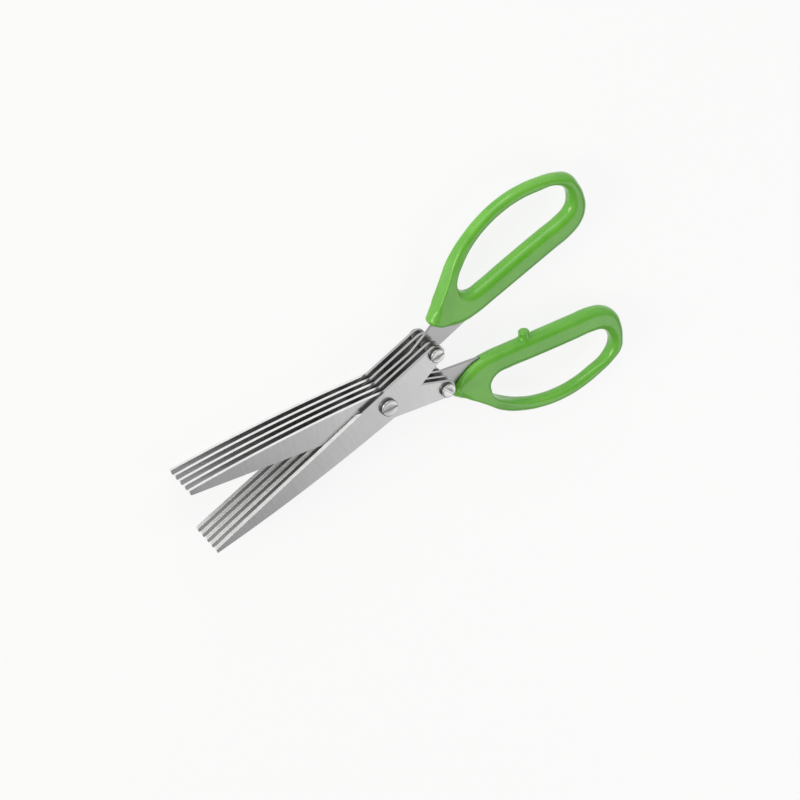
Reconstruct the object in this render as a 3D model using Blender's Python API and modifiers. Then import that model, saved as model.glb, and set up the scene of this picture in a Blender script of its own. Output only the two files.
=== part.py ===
# Herb scissors: two halves of five stamped blades each, crossed on one pivot, with moulded handles.
# The part lies on its back. The pivot axis is Z, the tips point to -X and the handles to +X.
# The origin is on the pivot axis, in the plane of the pivot nut's flat underside.
# Half a carries the handle at +Y and half b is the same half turned over.

import math

import bmesh
import bpy
from mathutils import Matrix, Vector

# Driving dimensions in metres, angles in radians
PAIRS = 5
TANG_PAIR = 3
REST_OPENING = math.radians(20.1)
SHEET = 0.0013
PAIR_GAP = 0.0008
RUNNING_GAP = 0.00015
SEAT_GAP = 0.0001
CUT_OVERRUN = 0.001

# One blade, in its half's own frame with the scissors shut
BLADE_REACH = 0.0868
TIP_EDGE_HEIGHT = 0.0009
TIP_SPINE_DROP = 0.0014
TIP_ROUND = 0.0009
HEEL_REACH = 0.0100
HEEL_HEIGHT = 0.0066
SPINE_DROP = 0.0065
SPINE_BEND_REACH = 0.0050
KINK_REACH = 0.0015
ARM_TOP_REACH = 0.0040
ARM_TOP_HEIGHT = 0.0074
REAR_REACH = 0.0269
REAR_HEIGHT = 0.0052
ARM_END_RADIUS = 0.0037
GRIND_WIDTH = 0.0006
GRIND_LAND = 0.0002
TIP_SPLAY = 0.0009
SPLAY_START = 0.0120

# The middle blade of each half runs on as a tang, its points being shares of reach and height
TANG_REACH = 0.0600
TANG_HEIGHT = 0.0128
TANG_SHARES = (
    (0.467, 0.105),
    (0.762, 0.212),
    (0.817, 0.420),
    (1.000, 0.430),
    (1.000, 0.820),
    (0.770, 0.850),
    (0.640, 1.000),
    (0.545, 0.920),
    (0.462, 0.790),
    (0.333, 0.615),
)
POCKET_GAP = 0.0002

# Handle loops, as shares of the handle's length and width
HANDLE_START = 0.0328
HANDLE_LENGTH = 0.0796
HANDLE_WIDTH = 0.0379
HANDLE_INNER = 0.0025
HANDLE_THICKNESS = 0.0072
HANDLE_ROUND = 0.0016
ARCH_THICKNESS = 0.0056
ARCH_TAPER_SHARES = (0.584, 0.837)
RIM_SHARES = (
    (-0.006, 0.312),
    (0.016, 0.217),
    (0.063, 0.120),
    (0.133, 0.038),
    (0.215, 0.007),
    (0.341, 0.012),
    (0.529, 0.019),
    (0.717, 0.024),
    (0.827, 0.028),
    (0.908, 0.070),
    (0.967, 0.184),
    (0.992, 0.345),
    (0.994, 0.501),
    (0.981, 0.649),
    (0.927, 0.764),
    (0.841, 0.865),
    (0.734, 0.947),
    (0.619, 0.986),
    (0.497, 0.973),
    (0.368, 0.900),
    (0.251, 0.767),
    (0.160, 0.593),
    (0.063, 0.424),
    (0.015, 0.363),
)
LOOP_SHARES = (
    (0.203, 0.464),
    (0.215, 0.362),
    (0.249, 0.286),
    (0.318, 0.268),
    (0.443, 0.270),
    (0.594, 0.273),
    (0.719, 0.272),
    (0.813, 0.270),
    (0.885, 0.308),
    (0.921, 0.421),
    (0.922, 0.553),
    (0.879, 0.684),
    (0.791, 0.761),
    (0.690, 0.824),
    (0.586, 0.843),
    (0.483, 0.820),
    (0.385, 0.758),
    (0.295, 0.669),
    (0.225, 0.559),
)

# Stop nub on the lower handle's inner bar
NUB_REACH = 0.0676
NUB_DIAMETER = 0.0046
NUB_RISE = 0.0028
NUB_ROUND = 0.0008
NUB_ROOT = 0.0020

# Fasteners: slotted screws in sleeve nuts
HEAD_HEIGHT = 0.0015
HEAD_ROUND = 0.0005
SLOT_WIDTH = 0.0009
SLOT_DEPTH = 0.0008
FLANGE_HEIGHT = 0.0011
FLANGE_ROUND = 0.0003
THREAD_GAP = 0.00015
THREAD_RELIEF = 0.0010
BORE_GAP = 0.00015
PIVOT_HEAD_DIAMETER = 0.0073
PIVOT_BARREL_DIAMETER = 0.0046
PIVOT_SHANK_DIAMETER = 0.0028
PIVOT_SHANK_LENGTH = 0.0080
PIVOT_WASHER_DIAMETER = 0.0085
PIVOT_SLOT_ANGLE = math.radians(-17)
REAR_HEAD_DIAMETER = 0.0061
REAR_BARREL_DIAMETER = 0.0030
REAR_SHANK_DIAMETER = 0.0018
REAR_SHANK_LENGTH = 0.0080
REAR_SPACER_DIAMETER = 0.0050
REAR_SLOT_ANGLE_A = math.radians(-8)
REAR_SLOT_ANGLE_B = math.radians(-42)

# Levels of the stack, from the resting plane up
PLATE_STEP = SHEET + RUNNING_GAP
PAIR_PITCH = PLATE_STEP + SHEET + PAIR_GAP
STACK_BOTTOM = FLANGE_HEIGHT + SEAT_GAP

STEEL = ((0.56, 0.56, 0.57), 0.32, 1.0)
BRIGHT_STEEL = ((0.62, 0.62, 0.63), 0.22, 1.0)
GREEN_PLASTIC = ((0.13, 0.45, 0.035), 0.28, 0.0)


def plate_bottom(half, pair):
    """Height of the underside of a half's blade, pair 1 being the topmost."""
    above = PLATE_STEP if half == "a" else 0
    return STACK_BOTTOM + (PAIRS - pair) * PAIR_PITCH + above


def new_collection(name):
    collection = bpy.data.collections.new(name)
    bpy.context.scene.collection.children.link(collection)
    return collection


def clear_scene():
    for obj in list(bpy.data.objects):
        bpy.data.objects.remove(obj, do_unlink=True)


def add_object(name, mesh, collection):
    obj = bpy.data.objects.new(name, mesh)
    collection.objects.link(obj)
    return obj


def realised(obj, name):
    """A plain mesh of an object as its modifiers or its curve leave it, with the object removed."""
    bpy.context.view_layer.update()
    graph = bpy.context.evaluated_depsgraph_get()
    mesh = bpy.data.meshes.new_from_object(obj.evaluated_get(graph))
    mesh.name = name
    mesh.transform(obj.matrix_world)
    bpy.data.objects.remove(obj, do_unlink=True)
    shape = bmesh.new()
    shape.from_mesh(mesh)
    bmesh.ops.remove_doubles(shape, verts=shape.verts, dist=SEAT_GAP / 100)
    bmesh.ops.recalc_face_normals(shape, faces=shape.faces)
    shape.to_mesh(mesh)
    shape.free()
    return mesh


def flat_mesh(name, loops, thickness):
    """A flat plate between z = 0 and its thickness, the loops after the first being holes."""
    curve = bpy.data.curves.new(name, "CURVE")
    curve.dimensions = "2D"
    curve.fill_mode = "BOTH"
    curve.extrude = thickness / 2
    for loop in loops:
        spline = curve.splines.new("POLY")
        spline.points.add(len(loop) - 1)
        for point, (x, y) in zip(spline.points, loop):
            point.co = (x, y, 0, 1)
        spline.use_cyclic_u = True
    obj = add_object(name, curve, PARTS)
    obj.location.z = thickness / 2
    return realised(obj, name)


def circle(x, y, radius, steps=32):
    turns = [2 * math.pi * i / steps for i in range(steps)]
    return [(x + radius * math.cos(a), y + radius * math.sin(a)) for a in turns]


def arc(x, y, radius, start, end, steps):
    turns = [start + (end - start) * i / steps for i in range(steps + 1)]
    return [(x + radius * math.cos(a), y + radius * math.sin(a)) for a in turns]


def tangent_angle(point, centre, radius, side):
    """Where a line from a point touches a circle, as an angle about the circle's centre."""
    reach = Vector(point) - Vector(centre)
    return math.atan2(reach.y, reach.x) + side * math.acos(radius / reach.length)


def turned(name, profile, closed=False, steps=32):
    """A Screw object from (radius, height) points, which run down its outer side."""
    mesh = bpy.data.meshes.new(name)
    shape = bmesh.new()
    verts = [shape.verts.new((radius, 0, height)) for radius, height in profile]
    ends = verts[1:] + verts[:1] if closed else verts[1:]
    for first, second in zip(verts, ends):
        shape.edges.new((first, second))
    shape.to_mesh(mesh)
    shape.free()
    obj = add_object(name, mesh, PARTS)
    screw = obj.modifiers.new("turn", "SCREW")
    screw.steps = steps
    screw.render_steps = steps
    screw.use_merge_vertices = True
    screw.merge_threshold = SEAT_GAP / 10
    return obj


def rounded_rim(radius, height, rounding, upward, steps=3):
    """Profile points of an outer rim, upward for a top rim and downward for a bottom one."""
    turns = [math.pi / 2 * i / steps for i in range(steps + 1)]
    if upward:
        centre = height - rounding
        return [
            (radius - rounding + rounding * math.sin(a), centre + rounding * math.cos(a))
            for a in turns
        ]
    centre = height + rounding
    return [
        (radius - rounding + rounding * math.cos(a), centre - rounding * math.sin(a))
        for a in turns
    ]


def cutter_box(name, size, matrix):
    mesh = bpy.data.meshes.new(name)
    shape = bmesh.new()
    bmesh.ops.create_cube(shape, size=1)
    bmesh.ops.scale(shape, vec=size, verts=shape.verts)
    shape.to_mesh(mesh)
    shape.free()
    obj = add_object(name, mesh, CUTTERS)
    obj.matrix_world = matrix
    hide_cutter(obj)
    return obj


def hide_cutter(obj):
    obj.hide_render = True
    obj.display_type = "WIRE"


def join_or_cut(obj, other, operation):
    change = obj.modifiers.new(other.name, "BOOLEAN")
    change.operation = operation
    change.solver = "EXACT"
    change.object = other


def finish(obj, look, parent):
    """Gives a piece its own material and smooth shading, and hangs it on its half."""
    colour, roughness, metallic = look
    material = bpy.data.materials.new(obj.name + "_finish")
    material.use_nodes = True
    shader = material.node_tree.nodes["Principled BSDF"]
    shader.inputs["Base Color"].default_value = (*colour, 1)
    shader.inputs["Roughness"].default_value = roughness
    shader.inputs["Metallic"].default_value = metallic
    obj.data.materials.clear()
    obj.data.materials.append(material)
    obj.data.shade_smooth()
    obj.data.set_sharp_from_angle(angle=math.radians(30))
    obj.parent = parent
    return obj


def half_axis(half):
    """The empty on the pivot axis that carries one half, turned to the opening of the photograph."""
    axis = bpy.data.objects.new(f"half_{half}_axis", None)
    PARTS.objects.link(axis)
    turn = REST_OPENING / 2 if half == "a" else -REST_OPENING / 2
    axis.rotation_euler.z = turn
    return axis


def in_half(mesh, half, middle):
    """Half b is half a turned over about the X axis, at the height of the piece's own middle."""
    if half == "b":
        mesh.transform(Matrix.Rotation(math.pi, 4, "X"))
    mesh.transform(Matrix.Translation((0, 0, middle)))
    return mesh


# Blades
def blade_front():
    """Heel, ground edge, rounded tip and spine, in order from the heel round to the kink."""
    tip = Vector((-BLADE_REACH, TIP_EDGE_HEIGHT))
    heel = Vector((-HEEL_REACH, HEEL_HEIGHT))
    slope = math.atan2(heel.y - tip.y, heel.x - tip.x)
    centre = tip + TIP_ROUND * Vector((math.cos(slope), math.sin(slope)))
    centre += TIP_ROUND * Vector((math.sin(slope), -math.cos(slope)))
    points = [tuple(heel)]
    points += arc(centre.x, centre.y, TIP_ROUND, slope + math.pi / 2, slope + math.pi, 4)
    spine_steps = 10
    run = BLADE_REACH - SPINE_BEND_REACH
    rise = SPINE_DROP - TIP_SPINE_DROP
    for i in range(spine_steps + 1):
        share = 1 - i / spine_steps
        points.append((-SPINE_BEND_REACH - run * share, -SPINE_DROP + rise * share**2))
    points.append((KINK_REACH, -SPINE_DROP))
    return points


def blade_outline(has_tang):
    kink = (KINK_REACH, -SPINE_DROP)
    arm_top = (ARM_TOP_REACH, ARM_TOP_HEIGHT)
    rear = (REAR_REACH, REAR_HEIGHT)
    if has_tang:
        end = [(x * TANG_REACH, y * TANG_HEIGHT) for x, y in TANG_SHARES]
    else:
        start = tangent_angle(kink, rear, ARM_END_RADIUS, 1)
        stop = tangent_angle(arm_top, rear, ARM_END_RADIUS, -1)
        while stop < start:
            stop += 2 * math.pi
        end = arc(*rear, ARM_END_RADIUS, start, stop, 14)
    return blade_front() + end + [arm_top]


def grind_cutter():
    """The wedge of steel that grinding takes off the front of a blade, from the tip to the heel."""
    tip = Vector((-BLADE_REACH, TIP_EDGE_HEIGHT, GRIND_LAND))
    heel = Vector((-HEEL_REACH, HEEL_HEIGHT, GRIND_LAND))
    along = (heel - tip).normalized()
    inward = Vector((along.y, -along.x, 0))
    down = Vector((0, 0, 1))
    slope = (inward * GRIND_WIDTH + down * (SHEET - GRIND_LAND)).normalized()
    normal = slope.cross(along)
    width = 2 * GRIND_WIDTH + 2 * SHEET
    length = (heel - tip).length + CUT_OVERRUN
    centre = heel - along * (length / 2) + normal * (SHEET / 2 + CUT_OVERRUN / 2)
    turn = Matrix((along, slope, normal)).transposed().to_4x4()
    size = (length, width, SHEET + CUT_OVERRUN)
    return cutter_box("blade_grind", size, Matrix.Translation(centre) @ turn)


def splayed(mesh, lift):
    """Bends a blade in front of the pivot, so that its tip stands off by the lift."""
    shape = bmesh.new()
    shape.from_mesh(mesh)
    everything = shape.verts[:] + shape.edges[:] + shape.faces[:]
    bmesh.ops.bisect_plane(
        shape,
        geom=everything,
        dist=SEAT_GAP / 100,
        plane_co=(-SPLAY_START, 0, 0),
        plane_no=(1, 0, 0),
    )
    for vert in shape.verts:
        share = max(0, -vert.co.x - SPLAY_START) / (BLADE_REACH - SPLAY_START)
        vert.co.z += lift * share
    shape.to_mesh(mesh)
    shape.free()
    return mesh


def make_blade(half, pair, grind, axis):
    has_tang = pair == TANG_PAIR
    name = f"tang_blade_{half}_{pair}" if has_tang else f"blade_{half}_{pair}"
    holes = [
        circle(0, 0, PIVOT_BARREL_DIAMETER / 2 + BORE_GAP),
        circle(REAR_REACH, REAR_HEIGHT, REAR_BARREL_DIAMETER / 2 + BORE_GAP, 24),
    ]
    blank = add_object(name, flat_mesh(name, [blade_outline(has_tang)] + holes, SHEET), PARTS)
    join_or_cut(blank, grind, "DIFFERENCE")
    mesh = realised(blank, name)
    mesh.transform(Matrix.Translation((0, 0, -SHEET / 2)))
    middle_pair = (PAIRS + 1) / 2
    lift = TIP_SPLAY * (middle_pair - pair) / (middle_pair - 1)
    splayed(mesh, lift if half == "a" else -lift)
    in_half(mesh, half, plate_bottom(half, pair) + SHEET / 2)
    finish(add_object(name, mesh, PARTS), STEEL, axis)


# Handles
def handle_points(shares):
    return [
        (HANDLE_START + HANDLE_LENGTH * x, HANDLE_INNER + HANDLE_WIDTH * y) for x, y in shares
    ]


def handle_body(name):
    """The moulded loop about z = 0, with its rim and finger hole rounded all along."""
    curve = bpy.data.curves.new(name, "CURVE")
    curve.dimensions = "2D"
    curve.fill_mode = "BOTH"
    curve.resolution_u = 4
    curve.extrude = HANDLE_THICKNESS / 2 - HANDLE_ROUND
    curve.bevel_depth = HANDLE_ROUND
    curve.bevel_resolution = 2
    curve.offset = -HANDLE_ROUND
    for shares in (RIM_SHARES, LOOP_SHARES):
        points = handle_points(shares)
        spline = curve.splines.new("BEZIER")
        spline.bezier_points.add(len(points) - 1)
        for knot, (x, y) in zip(spline.bezier_points, points):
            knot.co = (x, y, 0)
            knot.handle_left_type = "AUTO"
            knot.handle_right_type = "AUTO"
        spline.use_cyclic_u = True
    obj = add_object(name, curve, PARTS)
    return realised(obj, name)


def slimmed(mesh):
    """The arch is slimmer than the bar, so that its section is nearly round."""
    start, end = ARCH_TAPER_SHARES
    for vertex in mesh.vertices:
        height = (vertex.co.y - HANDLE_INNER) / HANDLE_WIDTH
        share = min(1, max(0, (height - start) / (end - start)))
        share = share * share * (3 - 2 * share)
        vertex.co.z *= 1 - share * (1 - ARCH_THICKNESS / HANDLE_THICKNESS)
    return mesh


def grown(points, gap):
    """An outline moved outwards by a gap, for points that run counter-clockwise."""
    moved = []
    for i, point in enumerate(points):
        before = Vector(point) - Vector(points[i - 1])
        after = Vector(points[(i + 1) % len(points)]) - Vector(point)
        first = Vector((before.y, -before.x)).normalized()
        second = Vector((after.y, -after.x)).normalized()
        across = (first + second) / (1 + first.dot(second))
        moved.append(tuple(Vector(point) + across * gap))
    return moved


def tang_pocket():
    """The cavity that the tang fills in the moulding, open towards the pivot."""
    tang = [(x * TANG_REACH, y * TANG_HEIGHT) for x, y in TANG_SHARES]
    thickness = SHEET + 2 * POCKET_GAP
    mesh = flat_mesh("tang_pocket", [grown(tang, POCKET_GAP)], thickness)
    mesh.transform(Matrix.Translation((0, 0, -thickness / 2)))
    pocket = add_object("tang_pocket", mesh, CUTTERS)
    hide_cutter(pocket)
    return pocket


def stop_nub():
    """A round-ended peg on the bar, which meets the other handle when the scissors shut."""
    radius = NUB_DIAMETER / 2
    length = NUB_RISE + NUB_ROOT
    profile = [(0, length)] + rounded_rim(radius, length, NUB_ROUND, True) + [(radius, 0), (0, 0)]
    nub = turned("stop_nub", profile, steps=24)
    nub.rotation_euler.x = math.pi / 2
    nub.location = (NUB_REACH, HANDLE_INNER + NUB_ROOT, 0)
    peg = add_object("stop_nub", realised(nub, "stop_nub"), CUTTERS)
    hide_cutter(peg)
    return peg


def make_handle(half, pocket, axis):
    name = f"handle_{half}"
    body = add_object(name, slimmed(handle_body(name)), PARTS)
    join_or_cut(body, pocket, "DIFFERENCE")
    if half == "b":
        join_or_cut(body, stop_nub(), "UNION")
    middle = plate_bottom(half, TANG_PAIR) + SHEET / 2
    mesh = in_half(realised(body, name), half, middle)
    finish(add_object(name, mesh, PARTS), GREEN_PLASTIC, axis)


# Fasteners
def make_screw(name, head, shank, length, seat, place, slot_angle, axis):
    """A pan-headed screw whose head stands on the seat height."""
    top = seat + SEAT_GAP + HEAD_HEIGHT
    profile = [(0, top)] + rounded_rim(head / 2, top, HEAD_ROUND, True)
    profile += [(head / 2, top - HEAD_HEIGHT), (shank / 2, top - HEAD_HEIGHT)]
    profile += [(shank / 2, top - HEAD_HEIGHT - length), (0, top - HEAD_HEIGHT - length)]
    screw = turned(name, profile)
    turn = Matrix.Rotation(slot_angle, 4, "Z")
    size = (head + CUT_OVERRUN, SLOT_WIDTH, 2 * SLOT_DEPTH)
    slot = cutter_box(name + "_slot", size, Matrix.Translation((0, 0, top)) @ turn)
    join_or_cut(screw, slot, "DIFFERENCE")
    mesh = realised(screw, name)
    mesh.transform(Matrix.Translation((*place, 0)))
    finish(add_object(name, mesh, PARTS), BRIGHT_STEEL, axis)


def make_nut(name, head, barrel, shank, length, seat, top, place, axis):
    """A sleeve nut: its flange hangs under the seat height and its barrel runs up through the blades."""
    under = seat - SEAT_GAP - FLANGE_HEIGHT
    bore = shank / 2 + THREAD_GAP
    floor = top - length - THREAD_RELIEF
    profile = [(0, floor), (bore, floor), (bore, top), (barrel / 2, top)]
    profile += [(barrel / 2, under + FLANGE_HEIGHT), (head / 2, under + FLANGE_HEIGHT)]
    profile += rounded_rim(head / 2, under, FLANGE_ROUND, False)
    profile += [(0, under)]
    mesh = realised(turned(name, profile), name)
    mesh.transform(Matrix.Translation((*place, 0)))
    finish(add_object(name, mesh, PARTS), BRIGHT_STEEL, axis)


def make_ring(name, outer, barrel, bottom, top, place, axis):
    inner = barrel / 2 + BORE_GAP
    profile = [(outer / 2, top), (outer / 2, bottom), (inner, bottom), (inner, top)]
    mesh = realised(turned(name, profile, closed=True, steps=24), name)
    mesh.transform(Matrix.Translation((*place, 0)))
    finish(add_object(name, mesh, PARTS), BRIGHT_STEEL, axis)


def make_pivot(axis):
    top = plate_bottom("a", 1) + SHEET
    middle = (0, 0)
    make_screw(
        "pivot_screw",
        PIVOT_HEAD_DIAMETER,
        PIVOT_SHANK_DIAMETER,
        PIVOT_SHANK_LENGTH,
        top,
        middle,
        PIVOT_SLOT_ANGLE,
        axis,
    )
    make_nut(
        "pivot_nut",
        PIVOT_HEAD_DIAMETER,
        PIVOT_BARREL_DIAMETER,
        PIVOT_SHANK_DIAMETER,
        PIVOT_SHANK_LENGTH,
        plate_bottom("b", PAIRS),
        top,
        middle,
        axis,
    )
    for pair in range(1, PAIRS):
        under = plate_bottom("a", pair + 1) + SHEET
        over = plate_bottom("b", pair)
        make_ring(
            f"pivot_washer_{pair}",
            PIVOT_WASHER_DIAMETER,
            PIVOT_BARREL_DIAMETER,
            under + SEAT_GAP,
            over - SEAT_GAP,
            middle,
            axis,
        )


def make_rear_bolt(half, slot_angle, axis):
    """The screw, nut and four spacers that hold one half's arms at their rounded ends."""
    place = (REAR_REACH, REAR_HEIGHT if half == "a" else -REAR_HEIGHT)
    top = plate_bottom(half, 1) + SHEET
    make_screw(
        f"rear_screw_{half}",
        REAR_HEAD_DIAMETER,
        REAR_SHANK_DIAMETER,
        REAR_SHANK_LENGTH,
        top,
        place,
        slot_angle,
        axis,
    )
    make_nut(
        f"rear_nut_{half}",
        REAR_HEAD_DIAMETER,
        REAR_BARREL_DIAMETER,
        REAR_SHANK_DIAMETER,
        REAR_SHANK_LENGTH,
        plate_bottom(half, PAIRS),
        top,
        place,
        axis,
    )
    for pair in range(1, PAIRS):
        under = plate_bottom(half, pair + 1) + SHEET
        over = plate_bottom(half, pair)
        make_ring(
            f"rear_spacer_{half}_{pair}",
            REAR_SPACER_DIAMETER,
            REAR_BARREL_DIAMETER,
            under + SEAT_GAP,
            over - SEAT_GAP,
            place,
            axis,
        )


clear_scene()
PARTS = new_collection("herb_scissors")
CUTTERS = new_collection("cutters")

axis_a = half_axis("a")
axis_b = half_axis("b")
grind_tool = grind_cutter()
pocket_tool = tang_pocket()
for pair_number in range(1, PAIRS + 1):
    make_blade("a", pair_number, grind_tool, axis_a)
    make_blade("b", pair_number, grind_tool, axis_b)
make_handle("a", pocket_tool, axis_a)
make_handle("b", pocket_tool, axis_b)
make_pivot(axis_a)
make_rear_bolt("a", REAR_SLOT_ANGLE_A, axis_a)
make_rear_bolt("b", REAR_SLOT_ANGLE_B, axis_b)
bpy.context.view_layer.update()
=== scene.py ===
import math

import bpy
from mathutils import Matrix, Vector


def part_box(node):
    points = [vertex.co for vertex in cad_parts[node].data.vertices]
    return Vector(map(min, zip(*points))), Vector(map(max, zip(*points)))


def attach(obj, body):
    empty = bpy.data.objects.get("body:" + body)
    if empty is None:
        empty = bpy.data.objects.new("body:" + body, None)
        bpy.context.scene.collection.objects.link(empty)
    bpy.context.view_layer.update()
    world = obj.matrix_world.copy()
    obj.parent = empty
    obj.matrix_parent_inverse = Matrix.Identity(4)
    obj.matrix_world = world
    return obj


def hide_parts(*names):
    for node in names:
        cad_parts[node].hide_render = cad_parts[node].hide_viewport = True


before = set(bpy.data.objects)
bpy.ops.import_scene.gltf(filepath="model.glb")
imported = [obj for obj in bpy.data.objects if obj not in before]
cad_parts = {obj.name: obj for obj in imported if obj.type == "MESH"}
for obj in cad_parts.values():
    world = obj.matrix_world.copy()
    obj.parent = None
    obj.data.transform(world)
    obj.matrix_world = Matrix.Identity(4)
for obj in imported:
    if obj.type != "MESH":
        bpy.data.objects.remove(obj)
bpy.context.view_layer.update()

# herb scissors: five stamped blades on each half, crossed on one pivot, with moulded loops
# lengths are in metres and angles in degrees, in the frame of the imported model
print("frame loaded with", len(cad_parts), "nodes")

halves = ("a", "b")
pairs = range(1, 6)
tangPair = 3
hair = 0.000002    # what counts as touching
seed = 0.001    # side of the small plane that a line grows from
largeFaceWeight = 90    # how far large faces rule the normals of smooth shading


# the view of the photograph
cameraView = {
    "place": (-0.2627, 0.7492, 0.86775),
    "right": (0.8256, -0.2678, 0.4967),
    "up": (0.5152, 0.7169, -0.4697),
    "back": (-0.2303, 0.6437, 0.7298),
    "lens": 135,
    "sensor": 36,
    "farEnd": 50,
}


def placeCamera():
    bpy.ops.object.camera_add()
    camera = bpy.context.object
    camera.name = "productCamera"
    axes = Matrix((cameraView["right"], cameraView["up"], cameraView["back"])).transposed()
    camera.matrix_world = Matrix.Translation(cameraView["place"]) @ axes.to_4x4()
    camera.data.lens = cameraView["lens"]
    camera.data.sensor_width = cameraView["sensor"]
    camera.data.clip_end = cameraView["farEnd"]
    bpy.context.scene.camera = camera


# nothing selected and nothing in edit mode
def letGo():
    if bpy.context.object and bpy.context.object.mode != "OBJECT":
        bpy.ops.object.mode_set(mode="OBJECT")
    bpy.ops.object.select_all(action="DESELECT")


def takeUp(piece):
    letGo()
    piece.select_set(True)
    bpy.context.view_layer.objects.active = piece


# selects what passes the test among the corners, edges or faces, in edit mode
def pick(piece, kind, test):
    takeUp(piece)
    bpy.ops.object.mode_set(mode="EDIT")
    bpy.ops.mesh.select_mode(type=kind)
    bpy.ops.mesh.select_all(action="DESELECT")
    bpy.ops.object.mode_set(mode="OBJECT")
    mesh = piece.data
    parts = {"VERT": mesh.vertices, "EDGE": mesh.edges, "FACE": mesh.polygons}[kind]
    for part in parts:
        part.select = test(part)
    bpy.ops.object.mode_set(mode="EDIT")


# one point, made of a small plane's corners, and drawn on from place to place
def drawLine(name, places):
    letGo()
    bpy.ops.mesh.primitive_plane_add(size=seed, location=(0, 0, 0))
    piece = bpy.context.object
    piece.name = name
    bpy.ops.object.mode_set(mode="EDIT")
    bpy.ops.mesh.select_mode(type="VERT")
    bpy.ops.mesh.select_all(action="SELECT")
    bpy.ops.mesh.merge(type="CENTER")
    bpy.ops.transform.translate(value=places[0])
    for last, place in zip(places, places[1:]):
        step = Vector(place) - Vector(last)
        bpy.ops.mesh.extrude_region_move(TRANSFORM_OT_translate={"value": step})
    return piece


# a closed outline in the XY plane, filled and pulled up to its thickness
def stamp(name, outline, bottom, thickness):
    places = [(x, y, bottom) for x, y in outline]
    piece = drawLine(name, places + places[:1])
    bpy.ops.mesh.select_all(action="SELECT")
    bpy.ops.mesh.remove_doubles(threshold=hair)
    bpy.ops.mesh.edge_face_add()
    bpy.ops.mesh.extrude_region_move(TRANSFORM_OT_translate={"value": (0, 0, thickness)})
    faceOut(piece)
    return piece


# a profile of (radius, height) places, turned on the Z axis
def turnUp(name, profile, steps):
    piece = drawLine(name, [(radius, 0, height) for radius, height in profile])
    bpy.ops.mesh.select_all(action="SELECT")
    bpy.ops.mesh.spin(steps=steps, angle=2 * math.pi, center=(0, 0, 0), axis=(0, 0, 1))
    faceOut(piece)
    return piece


# doubles merged and all normals outwards
def faceOut(piece):
    takeUp(piece)
    bpy.ops.object.mode_set(mode="EDIT")
    bpy.ops.mesh.select_all(action="SELECT")
    bpy.ops.mesh.remove_doubles(threshold=hair)
    bpy.ops.mesh.normals_make_consistent(inside=False)
    bpy.ops.object.mode_set(mode="OBJECT")


def applyModifier(piece, kind, **settings):
    takeUp(piece)
    modifier = piece.modifiers.new(kind.lower(), kind)
    for key, value in settings.items():
        setattr(modifier, key, value)
    bpy.ops.object.modifier_apply(modifier=modifier.name)


# the tool is used up
def carve(piece, tool, operation="DIFFERENCE"):
    applyModifier(piece, "BOOLEAN", operation=operation, solver="EXACT", object=tool)
    bpy.data.objects.remove(tool, do_unlink=True)


def copyOf(piece, name):
    twin = piece.copy()
    twin.data = piece.data.copy()
    twin.name = name
    bpy.context.scene.collection.objects.link(twin)
    return twin


# smooth where faces meet softly, with flat faces kept flat
def shade(piece, limit):
    takeUp(piece)
    bpy.ops.object.shade_smooth_by_angle(angle=math.radians(limit))
    applyModifier(
        piece, "WEIGHTED_NORMAL", mode="FACE_AREA", weight=largeFaceWeight, keep_sharp=True
    )


# moves and turns a piece for good, so that its object stays at the origin
def setDown(piece, place=(0, 0, 0), turn=(0, 0, 0)):
    takeUp(piece)
    piece.location = place
    piece.rotation_euler = [math.radians(degrees) for degrees in turn]
    bpy.ops.object.transform_apply(location=True, rotation=True, scale=True)


def arcPlaces(centre, radius, start, end, steps):
    turns = [math.radians(start + (end - start) * i / steps) for i in range(steps + 1)]
    return [(centre[0] + radius * math.cos(t), centre[1] + radius * math.sin(t)) for t in turns]


# where a line from a place touches a circle, as an angle about the circle's centre
def touchAngle(place, centre, radius, side):
    reach = Vector(place) - Vector(centre)
    return math.degrees(math.atan2(reach.y, reach.x) + side * math.acos(radius / reach.length))


# the blade in its half's own frame, the scissors shut: tip to -X, cutting edge up, ground side up
blade = {
    "sheet": 0.0013,
    "tip": (-0.0868, 0.0009),
    "tipRound": 0.0009,
    "tipSteps": 6,
    "tipSpine": -0.0014,
    "heel": (-0.0100, 0.0066),
    "spine": -0.0065,
    "spineBend": -0.0050,
    "spineSteps": 24,
    "kink": (0.0015, -0.0065),
    "armTop": (0.0040, 0.0074),
    "rear": (0.0269, 0.0052),
    "armRound": 0.0037,
    "armSteps": 28,
    "pivotBore": 0.00245,
    "rearBore": 0.00165,
    "boreSteps": 48,
    "grindWidth": 0.0006,
    "grindLand": 0.0002,
    "grindSpare": 0.001,
    "grindFacing": (0, 0.88, 0.48),
    "edgeRound": 0.00007,
    "edgeAngle": 35,
    "edgeSteps": 2,
    "shadeAngle": 40,
    "splayFrom": -0.012,
    "tang": (
        (0.0280, 0.0013),
        (0.0457, 0.0027),
        (0.0490, 0.0054),
        (0.0600, 0.0055),
        (0.0600, 0.0105),
        (0.0462, 0.0109),
        (0.0384, 0.0128),
        (0.0327, 0.0118),
        (0.0277, 0.0101),
        (0.0200, 0.0079),
    ),
}


# edge line, rounded tip and spine, from the heel round to the kink
def bladeFront():
    tip = Vector(blade["tip"])
    heel = Vector(blade["heel"])
    along = (heel - tip).normalized()
    inward = Vector((along.y, -along.x))
    centre = tip + blade["tipRound"] * (along + inward)
    slope = math.degrees(math.atan2(along.y, along.x))
    places = [blade["heel"]]
    places += arcPlaces(centre, blade["tipRound"], slope + 90, slope + 180, blade["tipSteps"])
    steps = blade["spineSteps"]
    run = blade["spineBend"] - tip.x
    rise = blade["tipSpine"] - blade["spine"]
    for i in range(steps + 1):
        share = 1 - i / steps
        places.append((blade["spineBend"] - run * share, blade["spine"] + rise * share**2))
    return places + [blade["kink"]]


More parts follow.
